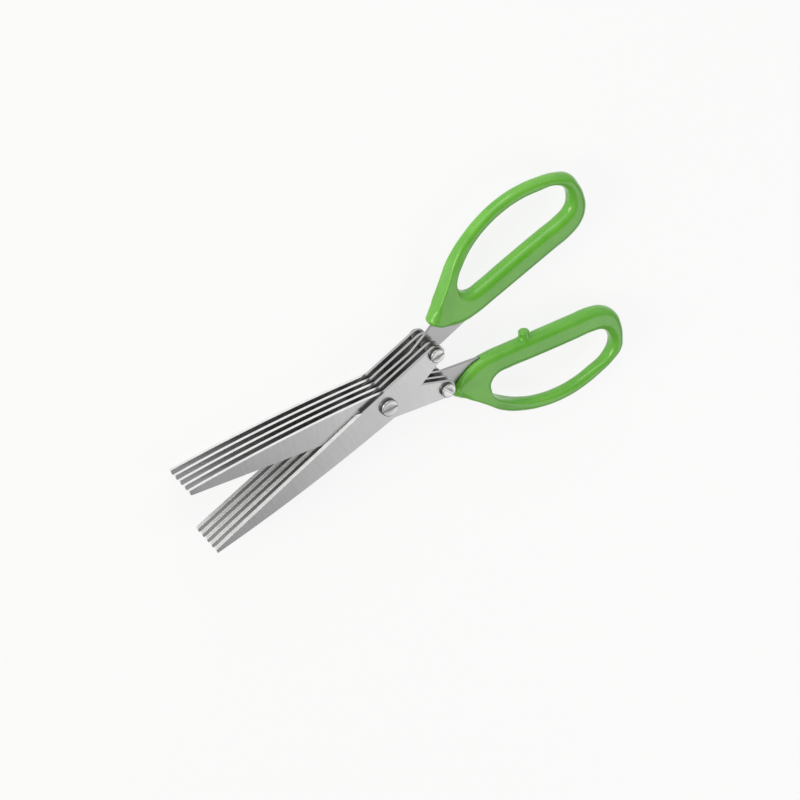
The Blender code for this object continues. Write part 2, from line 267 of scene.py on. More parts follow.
def armEnd():
    start = touchAngle(blade["kink"], blade["rear"], blade["armRound"], 1)
    end = touchAngle(blade["armTop"], blade["rear"], blade["armRound"], -1)
    return arcPlaces(blade["rear"], blade["armRound"], start, end % 360, blade["armSteps"])


# a block whose underside is the ground bevel
def grindWedge():
    tip = Vector((*blade["tip"], blade["grindLand"]))
    heel = Vector((*blade["heel"], blade["grindLand"]))
    along = (heel - tip).normalized()
    inward = Vector((along.y, -along.x, 0))
    depth = blade["sheet"] - blade["grindLand"]
    slope = (inward * blade["grindWidth"] + Vector((0, 0, depth))).normalized()
    normal = slope.cross(along)
    length = (heel - tip).length + blade["grindSpare"]
    height = blade["sheet"] + blade["grindSpare"]
    breadth = 4 * height
    centre = heel - along * (length / 2) + normal * (height / 2)
    turn = Matrix((along, -slope, normal)).transposed().to_euler()
    letGo()
    bpy.ops.mesh.primitive_cube_add(
        size=1, location=centre, rotation=turn, scale=(length, breadth, height)
    )
    return bpy.context.object


def borer(x, y, radius):
    letGo()
    depth = 4 * blade["sheet"]
    bpy.ops.mesh.primitive_cylinder_add(
        vertices=blade["boreSteps"], radius=radius, depth=depth, location=(x, y, 0)
    )
    return bpy.context.object


def makeBlank(name, rearEnd):
    outline = bladeFront() + list(rearEnd) + [blade["armTop"]]
    blank = stamp(name, outline, 0, blade["sheet"])
    carve(blank, borer(0, 0, blade["pivotBore"]))
    carve(blank, borer(*blade["rear"], blade["rearBore"]))
    carve(blank, grindWedge())
    # a row of corners across the blade, where the outer blades bend
    pick(blank, "FACE", lambda face: True)
    bpy.ops.mesh.bisect(plane_co=(blade["splayFrom"], 0, 0), plane_no=(1, 0, 0))
    applyModifier(
        blank,
        "BEVEL",
        width=blade["edgeRound"],
        segments=blade["edgeSteps"],
        limit_method="ANGLE",
        angle_limit=math.radians(blade["edgeAngle"]),
        use_clamp_overlap=False,
        miter_outer="MITER_ARC",
    )
    return blank


# flat faces, sheared rim and ground strip each get a finish of their own
def sortFaces(piece, finishes):
    for finish in finishes:
        piece.data.materials.append(finish)
    flat = 0.99    # cosine of the most that a face may lean
    smallest = 0.000001    # square metres, so that the rounded edges aren't taken
    ground = Vector(blade["grindFacing"])

    def inGrind(face):
        return face.normal.dot(ground) > flat and face.area > smallest

    def onRim(face):
        return abs(face.normal.z) <= flat and not inGrind(face)

    for index, test in ((1, onRim), (2, inGrind)):
        pick(piece, "FACE", test)
        piece.active_material_index = index
        bpy.ops.object.material_slot_assign()
    letGo()


# the outer blades lean out from the splay line on, by so much at the tip
def bend(piece, lift):
    start = blade["splayFrom"]
    run = start - blade["tip"][0]
    pick(piece, "VERT", lambda corner: corner.co.x < start - hair)
    bpy.ops.transform.rotate(
        value=-math.atan2(lift, run),
        orient_axis="Y",
        orient_type="GLOBAL",
        center_override=(start, 0, blade["sheet"] / 2),
    )
    letGo()


# half the opening at rest, from where the rear bolt of the upper half stands
def restTurn():
    low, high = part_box("rear_screw_a")
    middle = (low + high) / 2
    rear = blade["rear"]
    return math.degrees(math.atan2(middle.y, middle.x) - math.atan2(rear[1], rear[0]))


openTurn = {"a": restTurn(), "b": -restTurn()}


# the lower half is the upper half's stampings turned over
def makeBlades(finishes):
    blanks = {
        "blade": makeBlank("bladeBlank", armEnd()),
        "tang_blade": makeBlank("tangBlank", blade["tang"]),
    }
    for half in halves:
        for pair in pairs:
            kind = "tang_blade" if pair == tangPair else "blade"
            node = f"{kind}_{half}_{pair}"
            low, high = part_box(node)
            splay = high.z - low.z - blade["sheet"]
            risen = pair < tangPair
            bottom = low.z if risen else high.z - blade["sheet"]
            piece = copyOf(blanks[kind], f"{node}_finished")
            lift = splay if risen else -splay
            bend(piece, lift if half == "a" else -lift)
            sortFaces(piece, finishes[half])
            flip = 180 if half == "b" else 0
            drop = blade["sheet"] if half == "b" else 0
            setDown(piece, (0, 0, bottom + drop), (flip, 0, openTurn[half]))
            shade(piece, blade["shadeAngle"])
            finishPiece(piece, "half_" + half, node)
    for blank in blanks.values():
        bpy.data.objects.remove(blank, do_unlink=True)
    print("blades made")


def finishPiece(piece, body, node):
    letGo()
    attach(piece, body)
    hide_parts(node)


# the moulded loop, its outlines through knots at shares of its length and width
handle = {
    "start": 0.0328,
    "inner": 0.0025,
    "length": 0.0796,
    "width": 0.0379,
    "thickness": 0.0072,
    "archThickness": 0.0056,
    "archTaper": (0.584, 0.837),
    "rim": (
        (-0.006, 0.312),
        (0.016, 0.217),
        (0.063, 0.120),
        (0.133, 0.038),
        (0.215, 0.007),
        (0.341, 0.005),
        (0.529, 0.009),
        (0.717, 0.013),
        (0.827, 0.017),
        (0.908, 0.066),
        (0.967, 0.184),
        (0.992, 0.345),
        (0.994, 0.501),
        (0.981, 0.649),
        (0.927, 0.764),
        (0.841, 0.865),
        (0.734, 0.947),
        (0.619, 0.986),
        (0.497, 0.973),
        (0.368, 0.900),
        (0.253, 0.763),
        (0.163, 0.588),
        (0.064, 0.421),
        (0.015, 0.363),
    ),
    "loop": (
        (0.203, 0.464),
        (0.215, 0.364),
        (0.251, 0.291),
        (0.318, 0.278),
        (0.443, 0.285),
        (0.594, 0.291),
        (0.719, 0.292),
        (0.811, 0.291),
        (0.880, 0.325),
        (0.917, 0.429),
        (0.922, 0.553),
        (0.879, 0.684),
        (0.791, 0.761),
        (0.690, 0.824),
        (0.586, 0.843),
        (0.483, 0.820),
        (0.385, 0.758),
        (0.295, 0.669),
        (0.225, 0.559),
    ),
    "steps": 12,
    "barRound": (0.0036, 0.0031),
    "archRound": (0.0027, 0.0035),
    "neckRound": (0.0009, 0.0009),
    "noseRound": (0.0015, 0.0028),
    "archAcross": (0.44, 0.70),
    "neckAcross": (0.36, 0.46),
    "neckAlong": (0.18, 0.42),
    "noseAcross": (0.22, 0.37),
    "noseAlong": (0.02, 0.08),
    "mostRound": 0.46,
    "roundSteps": 14,
    "shadeAngle": 35,
    "flatLedge": 0.0001,
    "pocketGap": 0.0002,
    "nubReach": 0.0676,
    "nubRadius": 0.0023,
    "nubRise": 0.0028,
    "nubSunk": 0.0015,
    "nubRound": 0.0008,
    "nubFillet": 0.0007,
    "nubRoundSteps": 6,
    "nubSteps": 64,
}


def handlePlace(share):
    x = handle["start"] + handle["length"] * share[0]
    y = handle["inner"] + handle["width"] * share[1]
    return x, y


# 0 below low, 1 above high, soft between
def between(low, high, value):
    share = min(1, max(0, (value - low) / (high - low)))
    return share * share * (3 - 2 * share)


# how far the rounding runs in and down at a place of the outline: broad along the bar and the
# arch, crisp along the neck, narrow but deep at the nose, and never more than its share of
# the way across to the other outline
def roundingAt(place, reach):
    along = (place.x - handle["start"]) / handle["length"]
    across = (place.y - handle["inner"]) / handle["width"]
    arch = between(*handle["archAcross"], across)
    neck = (1 - between(*handle["neckAlong"], along)) * between(*handle["neckAcross"], across)
    nose = 1 - between(*handle["noseAlong"], along)
    nose *= 1 - between(*handle["noseAcross"], across)
    sizes = []
    for axis in range(2):
        size = handle["barRound"][axis]
        size += (handle["archRound"][axis] - size) * arch
        size += (handle["neckRound"][axis] - size) * neck
        size += (handle["noseRound"][axis] - size) * nose
        sizes.append(size)
    return min(sizes[0], handle["mostRound"] * reach), sizes[1]


# a smooth closed line through the knots, as an object of edges
def smoothLine(side):
    curve = bpy.data.curves.new(side + "Line", "CURVE")
    curve.dimensions = "2D"
    curve.fill_mode = "NONE"
    spline = curve.splines.new("BEZIER")
    spline.bezier_points.add(len(handle[side]) - 1)
    for knot, share in zip(spline.bezier_points, handle[side]):
        knot.co = (*handlePlace(share), 0)
        knot.handle_left_type = "AUTO"
        knot.handle_right_type = "AUTO"
    spline.use_cyclic_u = True
    spline.resolution_u = handle["steps"]
    line = bpy.data.objects.new(side + "Wall", curve)
    bpy.context.scene.collection.objects.link(line)
    takeUp(line)
    bpy.ops.object.convert(target="MESH")
    return bpy.context.object


# the wall's upper half: row after row pulled up and in, so that the edge is rounded
def raiseWall(wall, side, others):
    places = [corner.co.copy() for corner in wall.data.vertices]
    roundings = []
    for place in places:
        reach = min((place - other).length for other in others)
        roundings.append(roundingAt(place, reach))
    count = len(places)
    turns = 0
    inwards = []
    for i in range(count):
        along = (places[(i + 1) % count] - places[i - 1]).normalized()
        inwards.append(Vector((-along.y, along.x, 0)))
        turns += places[i - 1].x * places[i].y - places[i].x * places[i - 1].y
    # towards the other wall, whichever way round the outline runs
    into = 1 if (turns > 0) == (side == "rim") else -1
    top = handle["thickness"] / 2
    steps = handle["roundSteps"]
    # a row for each step of the rounding, then None for a narrow flat ledge
    rows = [math.radians(90 * step / steps) for step in range(steps + 1)] + [None]
    takeUp(wall)
    bpy.ops.object.mode_set(mode="EDIT")
    bpy.ops.mesh.select_mode(type="EDGE")
    bpy.ops.mesh.select_all(action="SELECT")
    for turn in rows:
        bpy.ops.mesh.extrude_region_move()
        bpy.ops.object.mode_set(mode="OBJECT")
        newest = list(wall.data.vertices)[-count:]
        for corner, place, inward, (width, drop) in zip(newest, places, inwards, roundings):
            if turn is None:
                corner.co = place + inward * into * (width + handle["flatLedge"])
                corner.co.z = top
            else:
                corner.co = place + inward * into * width * (1 - math.cos(turn))
                corner.co.z = top - drop * (1 - math.sin(turn))
        bpy.ops.object.mode_set(mode="EDIT")
    bpy.ops.object.mode_set(mode="OBJECT")


# both walls, the flat between their brims filled in, and the lower half mirrored; then the arch
# is slimmed
def handleRing():
    sides = ("rim", "loop")
    walls = [smoothLine(side) for side in sides]
    lines = [[corner.co.copy() for corner in wall.data.vertices] for wall in walls]
    for wall, side, others in zip(walls, sides, reversed(lines)):
        raiseWall(wall, side, others)
    takeUp(walls[0])
    walls[1].select_set(True)
    bpy.ops.object.join()
    ring = bpy.context.object
    ring.name = "handleMould"
    corners = ring.data.vertices
    brim = handle["thickness"] / 2 - hair
    bpy.ops.object.mode_set(mode="EDIT")
    bpy.ops.mesh.select_mode(type="EDGE")
    bpy.ops.mesh.select_all(action="DESELECT")
    bpy.ops.mesh.select_non_manifold(extend=False, use_wire=False)
    bpy.ops.object.mode_set(mode="OBJECT")
    for edge in ring.data.edges:
        edge.select = edge.select and all(corners[i].co.z > brim for i in edge.vertices)
    bpy.ops.object.mode_set(mode="EDIT")
    bpy.ops.mesh.fill()
    bpy.ops.mesh.dissolve_degenerate(threshold=5 * hair)
    bpy.ops.object.mode_set(mode="OBJECT")
    applyModifier(ring, "MIRROR", use_axis=(False, False, True), merge_threshold=hair)
    for corner in ring.data.vertices:
        across = (corner.co.y - handle["inner"]) / handle["width"]
        slimmer = between(*handle["archTaper"], across)
        corner.co.z *= 1 - slimmer * (1 - handle["archThickness"] / handle["thickness"])
    faceOut(ring)
    return ring


def tangPocket():
    outline = []
    tang = [Vector(place) for place in blade["tang"]]
    for i, place in enumerate(tang):
        before = (place - tang[i - 1]).normalized()
        after = (tang[(i + 1) % len(tang)] - place).normalized()
        first = Vector((before.y, -before.x))
        second = Vector((after.y, -after.x))
        outline.append(place + (first + second) * handle["pocketGap"] / (1 + first.dot(second)))
    thickness = blade["sheet"] + 2 * handle["pocketGap"]
    return stamp("tangPocket", outline, -thickness / 2, thickness)


# the stop nub stands on the bar's wall, with a fillet at its foot that follows the wall's rounding
def stopNub():
    radius = handle["nubRadius"]
    rise = handle["nubRise"]
    fillet = handle["nubFillet"]
    crown = (radius - handle["nubRound"], rise - handle["nubRound"])
    foot = (radius + fillet, fillet)
    sunk = handle["nubSunk"]
    steps = handle["nubRoundSteps"]
    profile = [(0, rise)]
    profile += arcPlaces(crown, handle["nubRound"], 90, 0, steps)
    profile += arcPlaces(foot, fillet, 180, 270, steps)
    profile += [(radius + fillet, -sunk), (0, -sunk)]
    nub = turnUp("stopNub", profile, handle["nubSteps"])
    setDown(nub, (handle["nubReach"], handle["inner"], 0), (90, 0, 0))
    wallIn, wallDown = handle["barRound"]
    wallHalf = handle["thickness"] / 2 - wallDown
    for corner in nub.data.vertices:
        height = handle["inner"] - corner.co.y
        over = max(0, abs(corner.co.z) - wallHalf) / wallDown
        sag = wallIn * (1 - math.sqrt(1 - over**2))
        fade = 1 - between(0, fillet, height)
        corner.co.y += (sag + hair) * fade
    return nub


def makeHandles(finishes):
    mould = handleRing()
    carve(mould, tangPocket())
    for half in halves:
        node = f"handle_{half}"
        low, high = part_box(node)
        piece = copyOf(mould, f"{node}_moulded")
        if half == "b":
            carve(piece, stopNub(), "UNION")
        flip = 180 if half == "b" else 0
        setDown(piece, (0, 0, (low.z + high.z) / 2), (flip, 0, openTurn[half]))
        shade(piece, handle["shadeAngle"])
        piece.data.materials.append(finishes[half])
        finishPiece(piece, "half_" + half, node)
    bpy.data.objects.remove(mould, do_unlink=True)
    print("handles made")


# slotted pan-head screws in sleeve nuts, with rings between the blades
fastener = {
    "headHeight": 0.0015,
    "headRound": 0.0005,
    "headSteps": 7,
    "slotWidth": 0.0008,
    "slotDepth": 0.00045,
    "flangeHeight": 0.0011,
    "flangeRound": 0.0003,
    "flangeSteps": 5,
    "floorGap": 0.001,
    "threadGap": 0.00015,
    "ringGap": 0.00015,
    "edgeRound": 0.00006,
    "edgeAngle": 50,
    "edgeSteps": 2,
    "shadeAngle": 40,
    "steps": 72,
}
bolts = {
    "pivot": {"body": "half_a", "shank": 0.0014, "barrel": 0.0023, "slot": -17},
    "rear_a": {"body": "half_a", "shank": 0.0009, "barrel": 0.0015, "slot": -8},
    "rear_b": {"body": "half_b", "shank": 0.0009, "barrel": 0.0015, "slot": -48},
}


def boltNode(bolt, kind):
    return bolt.replace("rear", "rear_" + kind) if "rear" in bolt else f"{bolt}_{kind}"


def makeScrew(bolt, finish):
    values = bolts[bolt]
    node = boltNode(bolt, "screw")
    low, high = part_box(node)
    middle = (low + high) / 2
    head = (high.x - low.x) / 2
    rounding = fastener["headRound"]
    seat = high.z - fastener["headHeight"]
    profile = [(0, high.z)]
    crown = (head - rounding, high.z - rounding)
    profile += arcPlaces(crown, rounding, 90, 0, fastener["headSteps"])
    profile += [(head, seat), (values["shank"], seat), (values["shank"], low.z), (0, low.z)]
    screw = turnUp(f"{node}_turned", profile, fastener["steps"])
    turn = values["slot"] + openTurn[values["body"][-1]]
    slotLength = 3 * head
    letGo()
    bpy.ops.mesh.primitive_cube_add(
        size=1,
        location=(0, 0, high.z),
        rotation=(0, 0, math.radians(turn)),
        scale=(slotLength, fastener["slotWidth"], 2 * fastener["slotDepth"]),
    )
    carve(screw, bpy.context.object)
    finishTurned(screw, middle, values["body"], node, finish)


def makeNut(bolt, finish):
    values = bolts[bolt]
    node = boltNode(bolt, "nut")
    low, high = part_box(node)
    middle = (low + high) / 2
    head = (high.x - low.x) / 2
    flange = low.z + fastener["flangeHeight"]
    rounding = fastener["flangeRound"]
    bore = values["shank"] + fastener["threadGap"]
    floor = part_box(boltNode(bolt, "screw"))[0].z - fastener["floorGap"]
    profile = [(0, floor), (bore, floor), (bore, high.z), (values["barrel"], high.z)]
    profile += [(values["barrel"], flange), (head, flange)]
    rim = (head - rounding, low.z + rounding)
    profile += arcPlaces(rim, rounding, 0, -90, fastener["flangeSteps"])
    profile += [(0, low.z)]
    nut = turnUp(f"{node}_turned", profile, fastener["steps"])
    finishTurned(nut, middle, values["body"], node, finish)


def makeRing(node, bolt, finish):
    values = bolts[bolt]
    low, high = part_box(node)
    outer = (high.x - low.x) / 2
    inner = values["barrel"] + fastener["ringGap"]
    profile = [(inner, high.z), (outer, high.z), (outer, low.z), (inner, low.z), (inner, high.z)]
    ring = turnUp(f"{node}_turned", profile, fastener["steps"])
    finishTurned(ring, (low + high) / 2, values["body"], node, finish)


def finishTurned(piece, middle, body, node, finish):
    applyModifier(
        piece,
        "BEVEL",
        width=fastener["edgeRound"],
        segments=fastener["edgeSteps"],
        limit_method="ANGLE",
        angle_limit=math.radians(fastener["edgeAngle"]),
        use_clamp_overlap=False,
    )
    setDown(piece, (middle.x, middle.y, 0))
    shade(piece, fastener["shadeAngle"])
    piece.data.materials.append(finish)
    finishPiece(piece, body, node)


def makeFasteners(headFinishes, ringFinishes):
    for bolt in bolts:
        makeScrew(bolt, headFinishes[bolt])
        makeNut(bolt, headFinishes[bolt])
    for gap in pairs[:-1]:
        makeRing(f"pivot_washer_{gap}", "pivot", ringFinishes["pivot"])
        for half in halves:
            makeRing(f"rear_spacer_{half}_{gap}", f"rear_{half}", ringFinishes[f"rear_{half}"])
    print("fasteners made")


# a link on its way to a socket, so that a pattern is written as a sum
class Wire:
    def __init__(self, nodes, socket):
        self.nodes = nodes
        self.socket = socket

    def combine(self, operation, first, second):
        return self.nodes.add("Math", {"operation": operation}, {0: first, 1: second})

    def __add__(self, other):
        return self.combine("ADD", self, other)

    def __radd__(self, other):
        return self.combine("ADD", other, self)

    def __rsub__(self, other):
        return self.combine("SUBTRACT", other, self)

    def __mul__(self, other):
        return self.combine("MULTIPLY", self, other)

    def __rmul__(self, other):
        return self.combine("MULTIPLY", other, self)

    def __abs__(self):
        return self.combine("ABSOLUTE", self, 0)


# the nodes of one material or of the world
class Nodes:
    def __init__(self, owner):
        owner.use_nodes = True
        self.tree = owner.node_tree

    def feed(self, socket, value):
        if isinstance(value, Wire):
            self.tree.links.new(value.socket, socket)
        else:
            socket.default_value = value

    def add(self, kind, settings, inputs, output=0):
        node = self.tree.nodes.new("ShaderNode" + kind)
        for key, value in settings.items():
            setattr(node, key, value)
        for key, value in inputs.items():
            self.feed(node.inputs[key], value)
        return Wire(self, node.outputs[output])

    # 0 below low, 1 above high, soft between
    def ramp(self, value, low, high):
        settings = {"interpolation_type": "SMOOTHSTEP"}
        return self.add("MapRange", settings, {0: value, 1: low, 2: high})

    # the mix node has its colours in sockets 6 and 7, and gives them in socket 2
    def blend(self, first, second, mask):
        return self.add("Mix", {"data_type": "RGBA"}, {0: mask, 6: first, 7: second}, 2)


# a finish on the piece's own place, turned and centred with the piece
class Finish(Nodes):
    def __init__(self, name, turn=0, centre=(0, 0, 0)):
        self.material = bpy.data.materials.new(name)
        super().__init__(self.material)
        self.shader = self.tree.nodes["Principled BSDF"]
        here = self.add("TexCoord", {}, {}, "Object")
        turned = {"Vector": here, "Location": centre, "Rotation": (0, 0, math.radians(turn))}
        self.place = self.add("Mapping", {"vector_type": "TEXTURE"}, turned)

    # noise with so many features to the metre along each axis, and so many layers of detail
    def grain(self, stretch, detail):
        spread = self.add("VectorMath", {"operation": "MULTIPLY"}, {0: self.place, 1: stretch})
        return self.add("TexNoise", {}, {"Vector": spread, "Scale": 1, "Detail": detail})

    def relief(self, height, depth):
        bump = self.add("Bump", {}, {"Height": height, "Distance": depth, "Strength": 1})
        self.give({"Normal": bump})

    def give(self, values):
        for key, value in values.items():
            self.feed(self.shader.inputs[key], value)


def grey(level, warmth=0):
    return (level + warmth, level, level - warmth, 1)


# a plain value with a share of each pattern on top
def layered(shares, *patterns):
    total = shares[0]
    for share, pattern in zip(shares[1:], patterns):
        total = total + share * pattern
    return total


# in the finishes a pattern has its features to the metre and its detail, a range is where a mask
# goes from none to full, and shares are a plain value and then one for each pattern layered on it

# rolled stainless sheet, brushed across the blade, with painted shade darkening the tang towards
# the handle
sheetFace = {
    "dark": grey(0.50),
    "light": grey(0.60, -0.003),
    "worn": grey(0.68),
    "wornShare": 0.5,
    # painted shade on the tang, towards the handle
    "tangPaintedShade": grey(0.37),
    "tangShadeRange": (0.025, 0.031),
    "tangShadeShare": 0.9,
    "fine": ((7000, 110, 300), 3),
    "broad": ((1600, 60, 80), 2),
    "cloud": ((70, 110, 70), 3),
    "scratch": ((150, 9000, 300), 1),
    "scratchRange": (0.70, 0.76),
    "toneShares": (0, 0.45, 0.25, 0.3),
    "toneRange": (0.3, 0.7),
    "roughness": (0.24, 0.1, 0.1),
    "reliefShares": (0, 0.6, 0.4, -0.3),
    "depth": 0.0000012,
}


def makeSheetFace(half):
    finish = Finish("sheetFace_" + half, openTurn[half])
    fine = finish.grain(*sheetFace["fine"])
    broad = finish.grain(*sheetFace["broad"])
    cloud = finish.grain(*sheetFace["cloud"])
    scratch = finish.ramp(finish.grain(*sheetFace["scratch"]), *sheetFace["scratchRange"])
    mottle = layered(sheetFace["toneShares"], fine, broad, cloud)
    tone = finish.ramp(mottle, *sheetFace["toneRange"])
    brushed = finish.blend(sheetFace["dark"], sheetFace["light"], tone)
    along = finish.add("SeparateXYZ", {}, {0: finish.place}, "X")
    # painted shade: the tang is darkened towards the handle
    tang = sheetFace["tangShadeShare"] * finish.ramp(along, *sheetFace["tangShadeRange"])
    brushed = finish.blend(brushed, sheetFace["tangPaintedShade"], tang)
    worn = sheetFace["wornShare"] * scratch
    finish.give({
        "Base Color": finish.blend(brushed, sheetFace["worn"], worn),
        "Roughness": layered(sheetFace["roughness"], fine, cloud),
        "Metallic": 1,
    })
    height = layered(sheetFace["reliefShares"], fine, broad, scratch)
    finish.relief(height, sheetFace["depth"])
    return finish.material


# the sheared rim, with marks that run through the sheet, painted shade on the arms and the tang,
# and a painted dark shadow from the edge's heel to the arm
sheetRim = {
    "dark": grey(0.80),
    "light": grey(0.95),
    # painted shade on the rim of the arms
    "armPaintedShade": grey(0.52),
    "armShadeRange": (-0.004, 0.002),
    # painted shade on the rim of the tang
    "tangPaintedShade": grey(0.36),
    "tangShadeRange": (0.026, 0.031),
    # painted shadow on the rim from the edge's heel to the arm
    "paintedShadow": grey(0.10),
    "paintedShadowAcross": (0.0050, 0.0055),
    "paintedShadowFront": (-0.0103, -0.0100),
    "paintedShadowRear": (0.0022, 0.0012),
    "marks": ((5200, 5200, 220), 3),
    "cloud": ((300, 300, 500), 2),
    "toneShares": (0, 0.6, 0.4),
    "toneRange": (0.35, 0.65),
    "roughness": (0.26, 0.16),
    "depth": 0.000002,
}


def makeSheetRim(half):
    finish = Finish("sheetRim_" + half, openTurn[half])
    marks = finish.grain(*sheetRim["marks"])
    cloud = finish.grain(*sheetRim["cloud"])
    mottle = layered(sheetRim["toneShares"], marks, cloud)
    tone = finish.ramp(mottle, *sheetRim["toneRange"])
    sheared = finish.blend(sheetRim["dark"], sheetRim["light"], tone)
    along = finish.add("SeparateXYZ", {}, {0: finish.place}, "X")
    across = finish.add("SeparateXYZ", {}, {0: finish.place}, "Y")
    side = 1 if half == "a" else -1
    # painted shadow: the rim from the edge's heel to the arm is made near black
    paintedShadow = finish.ramp(side * across, *sheetRim["paintedShadowAcross"])
    paintedShadow = paintedShadow * finish.ramp(along, *sheetRim["paintedShadowFront"])
    paintedShadow = paintedShadow * finish.ramp(along, *sheetRim["paintedShadowRear"])
    # painted shade: the rim of the arms is darkened
    arm = finish.ramp(along, *sheetRim["armShadeRange"])
    sheared = finish.blend(sheared, sheetRim["armPaintedShade"], arm)
    # painted shade: the rim of the tang is darkened towards the handle
    tang = finish.ramp(along, *sheetRim["tangShadeRange"])
    sheared = finish.blend(sheared, sheetRim["tangPaintedShade"], tang)
    finish.give({
        "Base Color": finish.blend(sheared, sheetRim["paintedShadow"], paintedShadow),
        "Roughness": layered(sheetRim["roughness"], marks),
        "Metallic": 1,
    })
    finish.relief(marks, sheetRim["depth"])
    return finish.material


# the ground bevel of the cutting edge, with finer marks than the sheet
groundStrip = {
    "dark": grey(0.38),
    "light": grey(0.46),
    "marks": ((12000, 500, 500), 3),
    "steps": ((500, 60, 60), 2),
    "toneShares": (0, 0.55, 0.45),
    "toneRange": (0.34, 0.66),
    "roughness": (0.26, 0.08),
    "depth": 0.00000015,
}


def makeGroundStrip(half):
    finish = Finish("groundStrip_" + half, openTurn[half])
    marks = finish.grain(*groundStrip["marks"])
    steps = finish.grain(*groundStrip["steps"])
    mottle = layered(groundStrip["toneShares"], marks, steps)
    tone = finish.ramp(mottle, *groundStrip["toneRange"])
    finish.give({
        "Base Color": finish.blend(groundStrip["dark"], groundStrip["light"], tone),
        "Roughness": layered(groundStrip["roughness"], marks),
        "Metallic": 1,
    })
    finish.relief(marks, groundStrip["depth"])
    return finish.material


# turned screws, nuts and rings, with tool marks round their middle and painted shade on the outer
# wall; the rings between the blades are painted dark all over as painted shade
turnedSteel = {
    "head": {
        "dark": grey(0.56),
        "light": grey(0.62),
        # painted shade on the outer wall of the head
        "wall": grey(0.20),
        "roughness": (0.24, 0.10, 0.05),
    },
    "ring": {
        # painted shade: the rings between the blades are painted dark all over, and darker still
        # on their outer wall
        "dark": grey(0.14),
        "light": grey(0.24),
        "wall": grey(0.16),
        "roughness": (0.34, 0.10, 0.05),
    },
    # painted shade: the band of the outer wall that is darkened
    "shadedWallDepth": 0.00006,
    "ringPitch": 8500,
    "sidePitch": 5000,
    "ringDetail": 2,
    "cloud": ((900, 900, 900), 3),
    "toneShares": (0, 0.6, 0.4),
    "toneRange": (0.34, 0.66),
    "depth": 0.0000005,
}


def makeTurnedSteel(bolt, kind):
    values = turnedSteel[kind]
    low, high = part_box(boltNode(bolt, "screw"))
    middle = (low + high) / 2
    finish = Finish(f"turnedSteel_{kind}_{bolt}", 0, (middle.x, middle.y, 0))
    across = finish.add("VectorMath", {"operation": "MULTIPLY"}, {0: finish.place, 1: (1, 1, 0)})
    radius = finish.add("VectorMath", {"operation": "LENGTH"}, {0: across}, "Value")
    height = finish.add("SeparateXYZ", {}, {0: finish.place}, "Z")
    tool = {0: radius * turnedSteel["ringPitch"], 1: height * turnedSteel["sidePitch"]}
    groove = finish.add("CombineXYZ", {}, tool)
    toolMarks = {"Vector": groove, "Scale": 1, "Detail": turnedSteel["ringDetail"]}
    rings = finish.add("TexNoise", {}, toolMarks)
    cloud = finish.grain(*turnedSteel["cloud"])
    mottle = layered(turnedSteel["toneShares"], rings, cloud)
    tone = finish.ramp(mottle, *turnedSteel["toneRange"])
    turned = finish.blend(values["dark"], values["light"], tone)
    # painted shade: the outer wall is darkened like a contact shadow
    shadedWallStart = (high.x - low.x) / 2 - turnedSteel["shadedWallDepth"]
    wall = finish.ramp(radius, shadedWallStart, shadedWallStart + turnedSteel["shadedWallDepth"] / 2)
    finish.give({
        "Base Color": finish.blend(turned, values["wall"], wall),
        "Roughness": layered(values["roughness"], rings, cloud),
        "Metallic": 1,
    })
    finish.relief(rings, turnedSteel["depth"])
    return finish.material


# glossy moulded plastic with a faint parting line and a few scuffs
greenPlastic = {
    "deep": (0.106, 0.405, 0.022, 1),
    "fresh": (0.134, 0.455, 0.032, 1),
    "rubbed": (0.21, 0.50, 0.10, 1),
    "rubbedShare": 0.35,
    "cloud": ((70, 70, 160), 3),
    "peel": ((750, 750, 750), 2),
    "speck": ((7000, 7000, 7000), 2),
    "scuff": ((260, 2600, 260), 2),
    "scuffRange": (0.70, 0.78),
    "line": 0.00005,
    "toneRange": (0.35, 0.65),
    "roughness": (0.22, 0.06, 0.05, 0.16),
    "reliefShares": (0, 0.14, 0.02, 1.1, -0.1),
    "gloss": 0.5,
    "glossRoughness": 0.36,
    "depth": 0.000006,
}


def makeGreenPlastic(half):
    low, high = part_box("handle_" + half)
    finish = Finish("greenPlastic_" + half, openTurn[half], (0, 0, (low.z + high.z) / 2))
    cloud = finish.grain(*greenPlastic["cloud"])
    peel = finish.grain(*greenPlastic["peel"])
    speck = finish.grain(*greenPlastic["speck"])
    scuff = finish.ramp(finish.grain(*greenPlastic["scuff"]), *greenPlastic["scuffRange"])
    height = finish.add("SeparateXYZ", {}, {0: finish.place}, "Z")
    width = greenPlastic["line"]
    line = 1 - finish.ramp(abs(height), width, 2 * width)
    tone = finish.ramp(cloud, *greenPlastic["toneRange"])
    moulded = finish.blend(greenPlastic["deep"], greenPlastic["fresh"], tone)
    rubbed = greenPlastic["rubbedShare"] * scuff
    finish.give({
        "Base Color": finish.blend(moulded, greenPlastic["rubbed"], rubbed),
        "Roughness": layered(greenPlastic["roughness"], cloud, speck, scuff),
        "Coat Weight": greenPlastic["gloss"],
        "Coat Roughness": greenPlastic["glossRoughness"],
    })
    surface = layered(greenPlastic["reliefShares"], peel, speck, line, scuff)
    finish.relief(surface, greenPlastic["depth"])
    return finish.material


